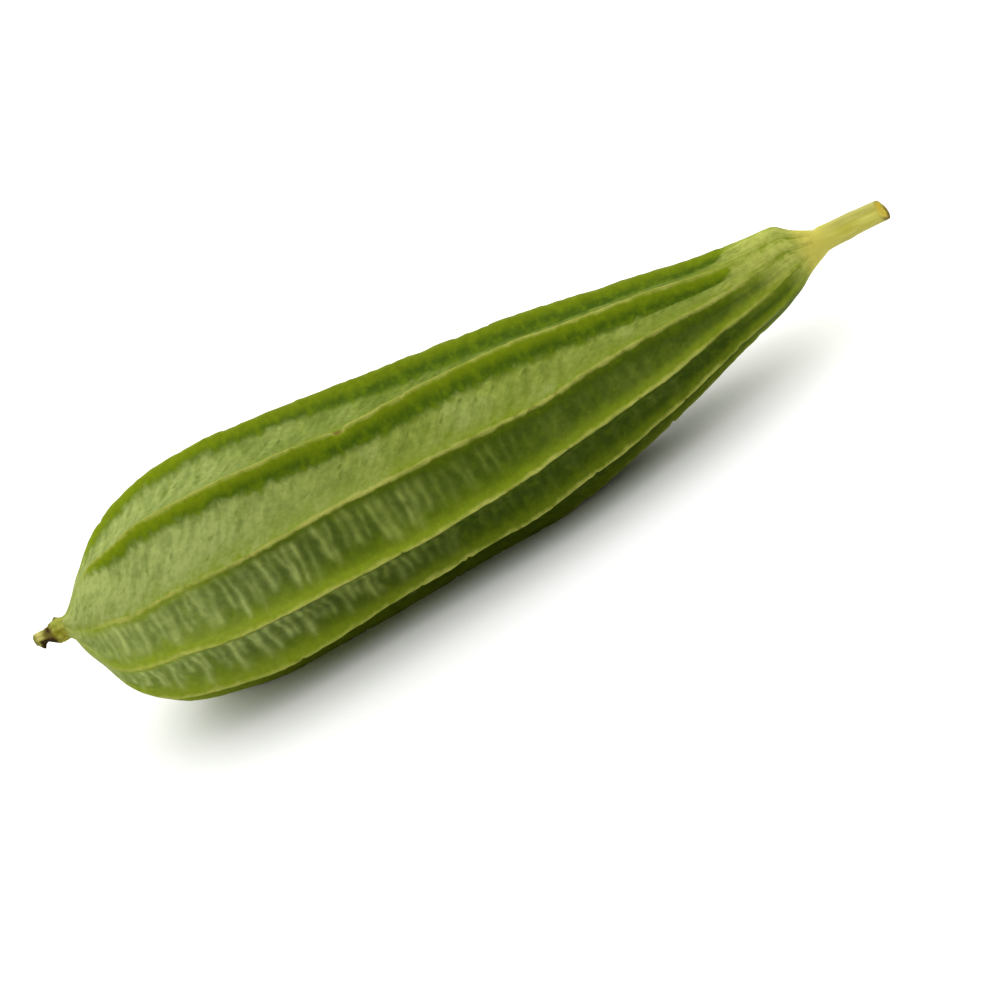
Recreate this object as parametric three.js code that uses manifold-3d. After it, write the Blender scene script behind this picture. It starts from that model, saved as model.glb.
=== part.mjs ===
// Ridge gourd (angled luffa), as picked, lying on two of its ten ridges.
// Units are millimetres, +Z is up, and +X runs from the flower end to the stem end.
// Three solids: the fruit, its stem, and the dried flower remnant on the far tip.
// The origin is under the middle of the whole gourd, on the surface that it lies on.

import * as THREE from 'three';
import { mergeVertices } from 'three/addons/utils/BufferGeometryUtils.js';
import Module from 'manifold-3d';

// ---- Driving dimensions -------------------------------------------------

// The fruit's outline: distance from the flower end, radius over the ridges, and how far
// the middle of the section is raised off the belly's middle. The flower end is off-centre
// and the neck curves up.
const OUTLINE = [
  [0.0, 3.3, 5.2],
  [1.0, 4.0, 4.6],
  [2.4, 6.7, 2.8],
  [5.0, 10.8, 1.2],
  [10.0, 18.7, -1.3],
  [20.0, 27.1, -1.2],
  [34.0, 31.9, -0.1],
  [52.0, 34.0, 0.1],
  [78.0, 32.4, 0.0],
  [107.0, 30.0, -0.4],
  [130.0, 28.3, -0.8],
  [150.0, 25.2, 0.1],
  [172.0, 20.3, 1.4],
  [194.0, 14.7, 3.3],
  [209.0, 11.5, 5.0],
  [215.0, 9.9, 6.1],
  [217.6, 8.9, 6.5],
  [221.0, 6.4, 6.3],
  [226.0, 3.8, 6.2],
];
const FRUIT_LENGTH = OUTLINE.at(-1)[0];

// The way the middle is raised, above the front horizontal (-Y): mostly up and partly back.
const LIFT_DEG = 121.4;

// Where each ridge stands round the section, in degrees above the front horizontal (-Y), at
// stations along the gourd: four on the body, from the flower end, and three on the neck.
const RIDGE_STATIONS = [8, 24, 50, 90, 140, 175, 208];
const RIDGES = [
  [110, 110.5, 110.5, 111, 112, 110, 108],
  [88, 75, 69.9, 70.7, 79, 76.5, 66],
  [40, 31.6, 31, 33.8, 35.2, 38.8, 38],
  [-1.2, 1.4, -1.2, -3.3, 2.4, 2, 5],
  [-28, -30, -34.5, -31.2, -26.5, -30, -30],
  [-72, -76, -72, -71, -69, -70, -70],
  [-108, -108, -108, -108, -107, -107, -107],
  [-144.5, -144.5, -144.5, -144.5, -144.5, -144.5, -144.5],
  [-181, -181, -181, -181, -181, -181, -181],
  [-216, -216, -216, -216, -215, -215, -215],
];
const WANDER = { degrees: 0.5, stretch: 9 };

// The hollow between two ridges and the ridges that rim it, as shares of the radius,
// and how wide a ridge spreads into the hollow and how blunt its edge is.
const HOLLOW_DEPTH = 0.085;
const RIDGE_HEIGHT = 0.085;
const RIDGE_SPREAD = 2.6;
const RIDGE_ROUNDING = 0.45;

// The relief grows from the flower end, is full along the body and fades at the stem.
const RELIEF = { start: 0, full: 24, fading: 190, end: 221 };

// Points across the space from one ridge to the next, as shares of it, and rings per stretch.
const ACROSS = [0, 0.05, 0.15, 0.36, 0.64, 0.85, 0.95];
const RINGS_PER_STRETCH = 3;

// The stem: a ribbed stalk from a flared foot to a slanting cut, a little raised at its middle.
const STEM = {
  length: 18.5, foot: 3.85, waist: 3.2, end: 2.95, raised: 0.2, ribs: 5, rib: 0.12, slant: 1.1, facing: 75,
};
const STEM_SIDES = 30;

// The dried flower remnant: a lobed cone narrowing to a blunt style, with dried sepals on it.
const REMNANT = {
  length: 9.3, foot: 3.3, shoulder: 3.1, cone: 2.75, neck: 2.0, style: 1.85, tip: 1.2, rise: 0.7, lobes: 5, lobe: 0.1,
};
const REMNANT_SIDES = 25;
const SEPAL = { from: 3.4, length: 1.1, radius: 0.8, lean: 1.5, sides: 7 };
const SEPAL_ANGLES = [-95, -20, 70, 150, 215];

// Rings along the stem and the remnant.
const SHORT_RINGS = 12;

// Gap between two pieces that meet face to face.
const JOINT_GAP = 0.3;

// How the fruit lies: its axis falls towards the stem, it leans a little backwards on its two
// lowest ridges, and these are pressed flat where they touch.
const FALL_DEG = 3.7;
const LEAN_DEG = 0.8;
const PRESSED_DEPTH = 0.5;

// ---- Geometry helpers ---------------------------------------------------

const { degToRad: radians, smoothstep } = THREE.MathUtils;
const wasm = await Module();
wasm.setup();

const outlineCurve = new THREE.CatmullRomCurve3(
  OUTLINE.map(([along, radius, raised]) => new THREE.Vector3(along, radius, raised)),
  false,
  'catmullrom',
);

// A point of a section: its distance along, how far the middle is raised, and the
// point's radius and angle above the front horizontal.
function sectionPoint(along, raised, radius, angle) {
  return new THREE.Vector3(
    along,
    -raised * Math.cos(radians(LIFT_DEG)) - radius * Math.cos(angle),
    raised * Math.sin(radians(LIFT_DEG)) + radius * Math.sin(angle),
  );
}

// Skins rings of equally many points, which turn downwards at the front, from the lowest
// distance along to the highest, and closes each end with a fan round its middle.
function skin(rings) {
  const count = rings[0].length;
  const last = (rings.length - 1) * count;
  const points = rings.flat();
  const triangles = [];
  for (let start = 0; start < last; start += count) {
    for (let side = 0; side < count; side += 1) {
      const here = start + side;
      const next = start + ((side + 1) % count);
      triangles.push(here, next, here + count, next, next + count, here + count);
    }
  }
  for (const ring of [rings[0], rings.at(-1)]) {
    const middle = new THREE.Vector3();
    ring.forEach((point) => middle.addScaledVector(point, 1 / count));
    points.push(middle);
  }
  for (let side = 0; side < count; side += 1) {
    const next = (side + 1) % count;
    triangles.push(points.length - 2, next, side);
    triangles.push(points.length - 1, last + side, last + next);
  }
  return new THREE.BufferGeometry().setFromPoints(points).setIndex(triangles);
}

function toSolid(geometry) {
  const plain = geometry.clone();
  plain.deleteAttribute('normal');
  plain.deleteAttribute('uv');
  const merged = mergeVertices(plain);
  return new wasm.Manifold(new wasm.Mesh({
    numProp: 3,
    vertProperties: new Float32Array(merged.attributes.position.array),
    triVerts: new Uint32Array(merged.index.array),
  }));
}

function toGeometry(solid) {
  const { vertProperties, triVerts } = solid.getMesh();
  const geometry = new THREE.BufferGeometry();
  geometry.setAttribute('position', new THREE.BufferAttribute(vertProperties, 3));
  geometry.setIndex(new THREE.BufferAttribute(triVerts, 1));
  return geometry;
}

// ---- The fruit ----------------------------------------------------------

// Angle of a ridge at a distance from the flower end: it eases from station to station and
// wanders a little. Numbers past the last ridge carry on round the section.
function ridgeAngle(number, along) {
  const turns = Math.floor(number / RIDGES.length);
  const ridge = number % RIDGES.length;
  const angles = RIDGES[ridge];
  const wound = angles.slice(1).reduce((angle, next, station) => (
    angle + (next - angles[station]) * smoothstep(along, RIDGE_STATIONS[station], RIDGE_STATIONS[station + 1])
  ), angles[0]);
  const wander = WANDER.degrees * Math.sin(along / (WANDER.stretch + (ridge % 4)) + 2.4 * ridge);
  return radians(wound + wander - 360 * turns);
}

// Radius at a share of the space between two ridges. The hollow is a parabola across the
// space, and each ridge dies away into it exponentially from a rounded edge.
function reach(along, radius, share, space) {
  const growing = smoothstep(along, RELIEF.start, RELIEF.full);
  const fading = smoothstep(along, RELIEF.fading, RELIEF.end);
  const across = 2 * share - 1;
  const fromRidge = Math.min(share, 1 - share) * space * radius;
  const flank = Math.hypot(fromRidge, RIDGE_ROUNDING) - RIDGE_ROUNDING;
  const hollow = HOLLOW_DEPTH * (1 - across * across);
  const ridge = RIDGE_HEIGHT * (1 - Math.exp(-flank / RIDGE_SPREAD));
  return radius * (1 - growing * (1 - fading) * (hollow + ridge));
}

function fruitRing({ x: along, y: radius, z: raised }) {
  const ring = [];
  for (let number = 0; number < RIDGES.length; number += 1) {
    const angle = ridgeAngle(number, along);
    const space = angle - ridgeAngle(number + 1, along);
    for (const share of ACROSS) {
      ring.push(sectionPoint(along, raised, reach(along, radius, share, space), angle - share * space));
    }
  }
  return ring;
}

function fruitGeometry() {
  return skin(outlineCurve.getPoints((OUTLINE.length - 1) * RINGS_PER_STRETCH).map(fruitRing));
}

// ---- The stem and the remnant -------------------------------------------

// Rings along a short stalk: the profile gives a radius at each share of its length, and
// shapePoint turns the share, radius and angle into a point.
function stalkRings(profile, sides, shapePoint) {
  const curve = new THREE.SplineCurve(profile.map(([share, radius]) => new THREE.Vector2(share, radius)));
  return curve.getPoints(SHORT_RINGS).map(({ x: share, y: radius }) => (
    Array.from({ length: sides }, (_, side) => shapePoint(share, radius, -side / sides * 2 * Math.PI))
  ));
}

// The cut slants back on the side that faces up and forwards.
function stemGeometry() {
  const profile = [[0, STEM.foot], [0.2, 0.5 * (STEM.foot + STEM.waist)], [0.5, STEM.waist], [1, STEM.end]];
  return skin(stalkRings(profile, STEM_SIDES, (share, radius, angle) => {
    const ribbed = radius + STEM.rib * share * Math.cos(STEM.ribs * angle);
    const cut = STEM.slant * share ** 6 * Math.cos(angle - radians(STEM.facing));
    const along = FRUIT_LENGTH + JOINT_GAP + share * STEM.length - cut;
    const raised = OUTLINE.at(-1)[2] + STEM.raised * Math.sin(2.5 * share);
    return sectionPoint(along, raised, ribbed, angle);
  }));
}

function remnantRaised(along) {
  return OUTLINE[0][2] + REMNANT.rise * (along / REMNANT.length) ** 2;
}

function sepalGeometry(degrees) {
  const raised = remnantRaised(SEPAL.from);
  const root = sectionPoint(-SEPAL.from, raised, REMNANT.cone - SEPAL.radius, radians(degrees));
  const tip = sectionPoint(-SEPAL.from - SEPAL.lean, raised, REMNANT.cone + SEPAL.length, radians(degrees));
  const direction = tip.clone().sub(root);
  const cone = new THREE.ConeGeometry(SEPAL.radius, direction.length(), SEPAL.sides);
  cone.translate(0, direction.length() / 2, 0);
  cone.applyQuaternion(new THREE.Quaternion().setFromUnitVectors(new THREE.Vector3(0, 1, 0), direction.normalize()));
  return cone.translate(root.x, root.y, root.z);
}

function remnantGeometry() {
  const profile = [
    [0, REMNANT.foot], [0.25, REMNANT.shoulder], [0.42, REMNANT.cone], [0.6, REMNANT.neck],
    [0.85, REMNANT.style], [1, REMNANT.tip],
  ];
  const rings = stalkRings(profile, REMNANT_SIDES, (share, radius, angle) => {
    const along = share * REMNANT.length;
    const lobed = radius * (1 + REMNANT.lobe * share * Math.cos(REMNANT.lobes * angle));
    return sectionPoint(-JOINT_GAP - along, remnantRaised(along), lobed, angle);
  });
  return toGeometry(SEPAL_ANGLES.reduce(
    (solid, degrees) => solid.add(toSolid(sepalGeometry(degrees))),
    toSolid(skin(rings.reverse())),
  ));
}

// ---- Laying the gourd down ----------------------------------------------

// Leans and tilts the pieces, sets the lowest ridges a little below the surface, and
// presses the fruit flat there.
function lay(pieces) {
  const box = new THREE.Box3();
  for (const { geometry } of pieces) {
    geometry.rotateX(radians(LEAN_DEG));
    geometry.rotateY(radians(FALL_DEG));
    geometry.computeBoundingBox();
    box.union(geometry.boundingBox);
  }
  const middle = box.getCenter(new THREE.Vector3());
  for (const { geometry } of pieces) {
    geometry.translate(-middle.x, -middle.y, -box.min.z - PRESSED_DEPTH);
  }
  const size = box.getSize(new THREE.Vector3()).multiplyScalar(2);
  const below = new THREE.BoxGeometry(size.x, size.y, size.z).translate(0, 0, -size.z / 2);
  const fruit = pieces.find(({ name }) => name === 'fruit');
  fruit.geometry = toGeometry(toSolid(fruit.geometry).subtract(toSolid(below)));
}

function piece(name, geometry, color, roughness) {
  const mesh = new THREE.Mesh(geometry, new THREE.MeshStandardMaterial({ color, roughness, metalness: 0 }));
  mesh.name = name;
  return mesh;
}

const pieces = [
  piece('fruit', fruitGeometry(), 0x71903a, 0.5),
  piece('stem', stemGeometry(), 0xb3b04e, 0.55),
  piece('flower_remnant', remnantGeometry(), 0x8a7a33, 0.85),
];
lay(pieces);

const group = new THREE.Group();
group.name = 'ridge_gourd';
group.add(...pieces);

export default group;
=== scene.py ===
"""Ridge gourd, dressed: the ribbed fruit, its cut stem and the dried flower remnant, lying on a pale floor.

Sizes are in millimetres up to the moment a mesh is made, and Blender's metres from there on.
"""

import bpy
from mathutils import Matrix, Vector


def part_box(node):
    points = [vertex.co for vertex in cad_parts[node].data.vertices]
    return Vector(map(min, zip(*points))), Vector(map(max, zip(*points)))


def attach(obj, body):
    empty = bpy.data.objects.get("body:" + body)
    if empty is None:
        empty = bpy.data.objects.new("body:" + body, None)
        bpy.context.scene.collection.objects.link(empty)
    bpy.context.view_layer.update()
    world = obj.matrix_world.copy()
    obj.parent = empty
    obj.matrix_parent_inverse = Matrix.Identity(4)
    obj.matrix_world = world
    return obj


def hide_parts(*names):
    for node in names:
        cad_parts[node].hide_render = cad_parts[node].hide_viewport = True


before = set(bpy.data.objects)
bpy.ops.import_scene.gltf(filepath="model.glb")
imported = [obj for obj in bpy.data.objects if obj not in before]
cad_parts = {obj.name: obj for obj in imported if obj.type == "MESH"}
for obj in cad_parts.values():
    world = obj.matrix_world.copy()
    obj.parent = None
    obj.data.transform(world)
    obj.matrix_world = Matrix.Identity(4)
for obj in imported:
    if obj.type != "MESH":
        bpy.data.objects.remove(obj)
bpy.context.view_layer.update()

from types import SimpleNamespace

import bpy
import numpy as np
from mathutils import Matrix, Vector

bl_info = {
    "name": "Ridge gourd",
    "version": (1, 0, 0),
    "blender": (4, 5, 0),
    "location": "3D View > Sidebar > Gourd",
    "description": "Makes a whole ridge gourd with its stem and dried flower, and a stage for it",
    "category": "Add Mesh",
}

# A millimetre, in Blender's metres.
MM = 0.001
FRUIT_BOX = np.array(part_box("fruit")) / MM

# ---- Sizes shared with the solid gourd, in millimetres ------------------

# Distance from the flower end, radius over the ridges, and how far the middle is raised.
OUTLINE = np.array([
    [0.0, 3.3, 5.2],
    [1.0, 4.0, 4.6],
    [2.4, 6.7, 2.8],
    [5.0, 10.8, 1.2],
    [10.0, 18.7, -1.3],
    [20.0, 27.1, -1.2],
    [34.0, 31.9, -0.1],
    [52.0, 34.0, 0.1],
    [78.0, 32.4, 0.0],
    [107.0, 30.0, -0.4],
    [130.0, 28.3, -0.8],
    [150.0, 25.2, 0.1],
    [172.0, 20.3, 1.4],
    [194.0, 14.7, 3.3],
    [209.0, 11.5, 5.0],
    [215.0, 9.9, 6.1],
    [217.6, 8.9, 6.5],
    [221.0, 6.4, 6.3],
    [226.0, 3.8, 6.2],
])
FRUIT_LENGTH = OUTLINE[-1, 0]
# The direction in which it is raised, above the front horizontal.
LIFT = np.radians(121.4)

# Ridge angles in degrees above the front horizontal, at seven distances along.
RIDGE_STATIONS = [8, 24, 50, 90, 140, 175, 208]
RIDGES_DEG = np.array([
    [110, 110.5, 110.5, 111, 112, 110, 108],
    [88, 75, 69.9, 70.7, 79, 76.5, 66],
    [40, 31.6, 31, 33.8, 35.2, 38.8, 38],
    [-1.2, 1.4, -1.2, -3.3, 2.4, 2, 5],
    [-28, -30, -34.5, -31.2, -26.5, -30, -30],
    [-72, -76, -72, -71, -69, -70, -70],
    [-108, -108, -108, -108, -107, -107, -107],
    [-144.5] * 7,
    [-181] * 7,
    [-216, -216, -216, -216, -215, -215, -215],
])
RIDGES = len(RIDGES_DEG)
# How far a ridge wanders to either side, and how slowly.
WANDER_DEG, WANDER_STRETCH = 0.5, 9
# These two are shares of the radius.
HOLLOW_DEPTH, RIDGE_HEIGHT = 0.085, 0.085
RIDGE_SPREAD, RIDGE_ROUNDING = 2.6, 0.45
RELIEF_FULL, RELIEF_FADING, RELIEF_END = 24, 190, 221
# The stem and the remnant start on the fruit, 0.3 mm before the solid ones, and end where they do.
STEM_LENGTH, STEM_FOOT, STEM_WAIST, STEM_END = 18.8, 3.85, 3.2, 2.95
REMNANT_LENGTH, REMNANT_RISE = 9.6, 0.7
# How far the stem end falls, and how far the fruit leans backwards.
FALL, LEAN = np.radians(3.7), np.radians(0.8)

# The solid fruit's own rows and columns, which fix where it lies.
SOLID_ROWS = 3 * (len(OUTLINE) - 1) + 1
SOLID_SHARES = np.array([0, 0.05, 0.15, 0.36, 0.64, 0.85, 0.95])

# ---- Fine surface -------------------------------------------------------

# Steps that measure the outline's length, and the cells of the noise's lattice each way.
FINE_STEPS, LATTICE = 4000, 32
# Rows lie half as far apart again on the neck, which has no pleats.
FRUIT_ROWS, ROWS_THIN_OUT = 460, (120, 170)
COLUMNS_PER_SPACE = 21
# How far the columns crowd towards the ridges, from 0, even, to 1.
CROWDING = 0.75

# Each space between two ridges has a row or a number below, from the top ridge round the front.
# At four distances along: how much wax lies in the space. Past the flower end the lower spaces get little,
# partly as painted shade, which the darker bare rind shows.
SPACE_STATIONS = [35, 70, 115, 185]
WAX_AND_SHADE = np.array([
    [0.82, 0.62, 0.45, 0.40],
    [0.95, 0.88, 0.86, 0.95],
    [0.24, 0.08, 0.05, 0.14],
    [0.18, 0.06, 0.02, 0.04],
    [0.10, 0.05, 0.03, 0.06],
    [0.60, 0.20, 0.15, 0.30],
    [0.60, 0.20, 0.15, 0.30],
    [0.65, 0.35, 0.30, 0.50],
    [0.80, 0.55, 0.50, 0.65],
    [0.85, 0.60, 0.60, 0.75],
])
# At the same distances: how wide the bare flank is under its upper ridge, in millimetres.
BARE = np.array([
    [3.0, 4.2, 6.8, 7.5],
    [3.6, 5.4, 6.4, 6.0],
    [0.4, 1.3, 2.8, 3.4],
    [0.4, 0.6, 1.2, 2.0],
    [0.8, 1.0, 1.2, 2.0],
    [0.8, 1.0, 1.2, 2.0],
    [0.8, 1.0, 1.2, 2.0],
    [1.0, 1.8, 2.6, 3.0],
    [2.5, 3.5, 4.0, 4.0],
    [3.0, 4.0, 4.5, 4.5],
])
# The same above its lower ridge, anywhere along.
BARE_ABOVE = 0.35
# Distances along, over which the bare flanks begin and end.
BARE_BEGINS, BARE_ENDS = (8, 22), (197, 205)
# How strongly it is pleated, where its pleats begin to fade, and where the neck's wax begins.
PLEATED = np.array([0.3, 0.25, 1.0, 1.0, 0.7, 0.8, 0.8, 0.8, 0.5, 0.3])
PLEATS_FADE_FROM = np.array([80, 80, 105, 72, 80, 90, 90, 90, 80, 80])
NECK_WAX_FROM = np.array([192, 197, 204, 212, 213, 207, 206, 204, 200, 198])
# How much wax the neck and the flower end have, and over which distances it comes there.
END_WAX, NECK_WAX_REACH, TIP_WAX_REACH = 0.85, (0, 11), (-14, -3)
# Painted shade: how far the bare rind of each space is darkened to a deeper green where it lies in shade,
# and where this begins.
PAINTED_SHADE = np.array([0.25, 0.15, 0.7, 1.0, 1.0, 0.8, 0.8, 0.5, 0.3, 0.1])
PAINTED_SHADE_FROM = np.array([40, 40, 25, 20, 5, 5, 5, 20, 40, 40])
# How pale the edge of its upper ridge is.
PALE_EDGE = np.array([0.15, 0.85, 1.0, 0.9, 0.8, 0.5, 0.5, 0.5, 0.7, 0.6])
# How yellow it is above its lower ridge, partly its own colour and partly painted light where the rind
# faces up, and how much painted shade darkens the low part of the space.
YELLOW_AND_LIT = np.array([0.2, 0.1, 0.7, 0.45, 0.4, 0.4, 0.4, 0.3, 0.2, 0.2])
# Painted shade: how far the low part of the space is darkened, where the rind faces up and would be lit the
# most.
PAINTED_SHADE_LOW = np.array([0.2, 0.2, 0.0, 0.0, 0.0, 0.0, 0.0, 0.0, 0.1, 0.2])

# Pleats: the first one's distance along, and how far apart and how wide they are by the flower end
# and at the last one. Each is a narrow bell curve on another one, with these heights, and the
# other one is this many times as wide.
PLEATS_PER_SPACE, FIRST_PLEAT = 58, 4
PLEAT_SPACING, PLEAT_WIDTH = (2.1, 3.8), (1.1, 1.5)
PLEAT_CORE, PLEAT_SKIRT, SKIRT_WIDTH = 0.55, 0.3, 2.2
# How far the rind between the pleats is sunk, as a share of their height.
SUNK = 0.3
# Noise over the spaces, in layers. Each has a height, a size along and one down a space, and how
# far apart in the noise two spaces lie.
PLEAT_BENDS = ((0.8, 5, 5, 5.3), (0.3, 2, 2.5, 1))
PLEAT_BREAKS = ((0.45, 2, 3, 3.1),)
UNEVENNESS = ((0.3, 14, 8, 4.3), (0.1, 3, 3, 4.3))
# Noise along the ridges, in layers: height, size, and how far apart in the noise two ridges lie.
RIDGE_SWAY = ((0.3, 13, 3.7), (0.12, 3, 3.7))
EDGE_WAVE = ((0.2, 5, 9.1), (0.1, 1.5, 6.3))
# The fruit's lower side is fuller along the belly and drawn in by the flower end: each change of
# radius has a distance along, a width and a height.
LOWER_SIDE, LOWER_SIDE_WIDTH = np.radians(-55), 0.6
LOWER_SIDE_CHANGES = ((30, 13, 0.7), (7, 3.5, -1.3))
# Nicks: one ridge was knocked, at a distance along, over a width and to a depth.
NICKS_PER_RIDGE, KNOCKED_RIDGE, KNOCK = 12, 1, (91.5, 1.9, 1.7)
# All changes of radius grow from the flower end and die away at the stem.
CHANGES_GROW, CHANGES_END = (1, 8), (212, 223)
# The fruit's first and last ring are drawn in to these shares and moved out, which rounds them.
END_SHARES, END_ROUNDING = (0.85, 0.9), 0.4
SEED = 11

STEM_ROWS, STEM_SIDES = 80, 72
# How far its middle rises past the foot, and how far its cut slants and which way this faces.
STEM_RAISED, CUT_SLANT, CUT_FACING = 0.45, 1.4, np.radians(60)
# Ribs round it: their height, how many there are and how far they are turned.
STEM_RIBS = ((0.12, 5, 0), (0.05, 13, 1))
# Share of the stem's length, and radius: it flares over the fruit's end and narrows to a waist.
STEM_PROFILE = np.array([
    [-0.1, STEM_FOOT + 0.75],
    [-0.05, STEM_FOOT + 0.48],
    [0.0, STEM_FOOT + 0.05],
    [0.05, STEM_FOOT - 0.23],
    [0.2, STEM_WAIST + 0.2],
    [0.5, STEM_WAIST],
    [0.97, STEM_END],
    [1.0, STEM_END - 0.12],
])
# Rings that close the stem's cut: share of the end's radius, and how far each stands out.
CUT_RINGS = np.array([
    [0.96, 0.1],
    [0.88, 0.05],
    [0.76, -0.15],
    [0.6, -0.2],
    [0.4, -0.35],
    [0.2, -0.5],
])
REMNANT_ROWS, REMNANT_SIDES, REMNANT_WAIST = 110, 84, 2
# Dried sepals, one more than on the solid: angle above the front horizontal, distance along and
# height.
SEPALS = np.array([
    [-95, 3.6, 1.0],
    [-20, 4.1, 0.7],
    [60, 4.6, 0.6],
    [120, 1.9, 0.6],
    [215, 4.1, 0.6],
    [-62, 7.8, 1.2],
])
# A sepal's half length and half width, measured at this radius.
SEPAL_LENGTH, SEPAL_WIDTH, SEPAL_RADIUS = 0.75, 0.95, 2.4
# Lumps, coarse and fine: their height and their size.
REMNANT_LUMPS = ((0.3, 1.2), (0.16, 0.5))
# Share of the remnant's length, and radius.
REMNANT_PROFILE = np.array([
    [-0.08, 3.0],
    [0.0, 3.1],
    [0.2, 3.2],
    [0.36, 2.9],
    [0.48, 2.3],
    [0.6, 1.9],
    [0.72, 1.65],
    [0.85, 1.6],
    [0.97, 1.4],
    [1.0, 0.7],
])

# ---- View and light -----------------------------------------------------

OVERHEAD_TILT = np.radians(-14), np.radians(-6)
IMAGE_PIXELS = 1000
# Where the flower end shows, and the scale of the fruit's middle.
FLOWER_END_PIXEL = (66.8, 627.4)
PIXELS_PER_MM = 3.75
CAMERA_DISTANCE = 1300
SENSOR, SIGHT_METRES = 36.0, 100
AXIS_RISE = np.radians(26.75)
STEM_TURNED_TO_CAMERA = np.radians(5)
CAMERA_ABOVE_FRONT = np.radians(31.4)
FRUIT_MIDDLE = 118.0


def linear(hex_colour):
    """An sRGB colour such as "8a9a50" as linear red, green, blue and alpha."""
    channels = np.array([int(hex_colour[i:i + 2], 16) for i in (0, 2, 4)]) / 255
    low = channels / 12.92
    high = ((channels + 0.055) / 1.055) ** 2.4
    return (*np.where(channels <= 0.04045, low, high).tolist(), 1.0)


def smoothstep(value, low, high):
    """0 below low, 1 above high, and 3x^2 - 2x^3 between them."""
    x = np.clip((value - low) / (high - low), 0, 1)
    return x * x * (3 - 2 * x)


def bell(value, middle, width):
    """1 at the middle, falling to either side as exp(-x^2), where x counts widths."""
    return np.exp(-((value - middle) / width) ** 2)


def spline(points, steps):
    """Catmull-Rom curve through the points: each stretch is the cubic whose slope at a point is
    half the way between that point's two neighbours. Steps run from 0 to 1."""
    padded = np.vstack([2 * points[0] - points[1], points, 2 * points[-1] - points[-2]])
    place = np.clip(steps, 0, 1) * (len(points) - 1)
    first = np.minimum(place.astype(int), len(points) - 2)
    x = (place - first)[:, None]
    before, here, after, beyond = (padded[first + i] for i in range(4))
    slope, next_slope = (after - before) / 2, (beyond - here) / 2
    square = -3 * here + 3 * after - 2 * slope - next_slope
    cube = 2 * here - 2 * after + slope + next_slope
    return here + slope * x + square * x ** 2 + cube * x ** 3


def dense_steps(points, count):
    """Steps along the curve that lie evenly along its length, but half as far apart again past
    where the rows thin out."""
    fine = np.linspace(0, 1, FINE_STEPS)
    curve = spline(points, fine)
    lengths = np.linalg.norm(np.diff(curve[:, :2], axis=0), axis=1)
    lengths /= 1 + 0.5 * smoothstep(curve[1:, 0], *ROWS_THIN_OUT)
    travelled = np.concatenate([[0], np.cumsum(lengths)])
    return np.interp(np.linspace(0, travelled[-1], count), travelled, fine)


def noise(x, y, z, seed):
    """Smooth value noise from -1 to 1: random numbers on a cubic lattice of unit cells, mixed
    between a cell's eight corners with smoothstep weights. Places are given divided by the size
    of the bumps."""
    table = np.random.default_rng(seed).uniform(-1, 1, (LATTICE, LATTICE, LATTICE))
    x, y, z = np.broadcast_arrays(x, y, z)
    cell = [np.floor(c).astype(int) for c in (x, y, z)]
    weight = [smoothstep(c - i, 0, 1) for c, i in zip((x, y, z), cell)]
    total = np.zeros(x.shape)
    for corner in range(8):
        offset = [(corner >> axis) & 1 for axis in range(3)]
        share = np.ones(x.shape)
        for axis in range(3):
            share = share * (weight[axis] if offset[axis] else 1 - weight[axis])
        total += share * table[tuple((cell[axis] + offset[axis]) % LATTICE for axis in range(3))]
    return total


def space_noise(layers, along, down, space, seed):
    """Layers of noise over the spaces between the ridges, each space with its own."""
    return sum(
        height * noise(along / length, down / breadth, space * apart, seed + layer)
        for layer, (height, length, breadth, apart) in enumerate(layers)
    )


def ridge_noise(layers, along, ridge, seed):
    """Layers of noise along the ridges, each ridge with its own."""
    return sum(
        height * noise(along / length, ridge * apart, 0, seed + layer)
        for layer, (height, length, apart) in enumerate(layers)
    )


def eased(rows, stations, along):
    """A value that eases by smoothstep from one station to the next. Each row holds one value
    for each station."""
    value = rows[..., 0]
    for i in range(len(stations) - 1):
        value = value + (rows[..., i + 1] - rows[..., i]) * smoothstep(along, stations[i], stations[i + 1])
    return value


def ridge_angle(number, along):
    """Angle of a ridge: it eases from station to station, plus a sine of the distance along.
    Numbers past the last ridge carry on round the section."""
    ridge = number % RIDGES
    wander = WANDER_DEG * np.sin(along / (WANDER_STRETCH + ridge % 4) + 2.4 * ridge)
    turned = eased(RIDGES_DEG[ridge], RIDGE_STATIONS, along)
    return np.radians(turned + wander - 360 * (number // RIDGES))


def relief(along):
    """How much of the hollows and ridges shows: none at either end, all of it along the body."""
    return smoothstep(along, 0, RELIEF_FULL) * (1 - smoothstep(along, RELIEF_FADING, RELIEF_END))


def section_radius(along, radius, share, space):
    """Radius less a hollow, a parabola across the space between two ridges, and less the ridges'
    flanks, which fall away exponentially from a rounded edge."""
    from_ridge = np.minimum(share, 1 - share) * space * radius
    flank = np.hypot(from_ridge, RIDGE_ROUNDING) - RIDGE_ROUNDING
    hollow = HOLLOW_DEPTH * (1 - (2 * share - 1) ** 2)
    ridge = RIDGE_HEIGHT * (1 - np.exp(-flank / RIDGE_SPREAD))
    return radius * (1 - relief(along) * (hollow + ridge))


def section_points(along, raised, radius, angle):
    """Points of sections across the axis: the middle is raised along LIFT, and each point lies at
    its radius and its angle above the front horizontal."""
    along, raised, radius, angle = np.broadcast_arrays(along, raised, radius, angle)
    side = -raised * np.cos(LIFT) - radius * np.cos(angle)
    up = raised * np.sin(LIFT) + radius * np.sin(angle)
    return np.stack([along, side, up], axis=-1)


def turn(points):
    """Leans the points about the axis and then lets the stem end fall."""
    lean = np.array([[1, 0, 0], [0, np.cos(LEAN), -np.sin(LEAN)], [0, np.sin(LEAN), np.cos(LEAN)]])
    fall = np.array([[np.cos(FALL), 0, np.sin(FALL)], [0, 1, 0], [-np.sin(FALL), 0, np.cos(FALL)]])
    return points @ (fall @ lean).T


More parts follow.
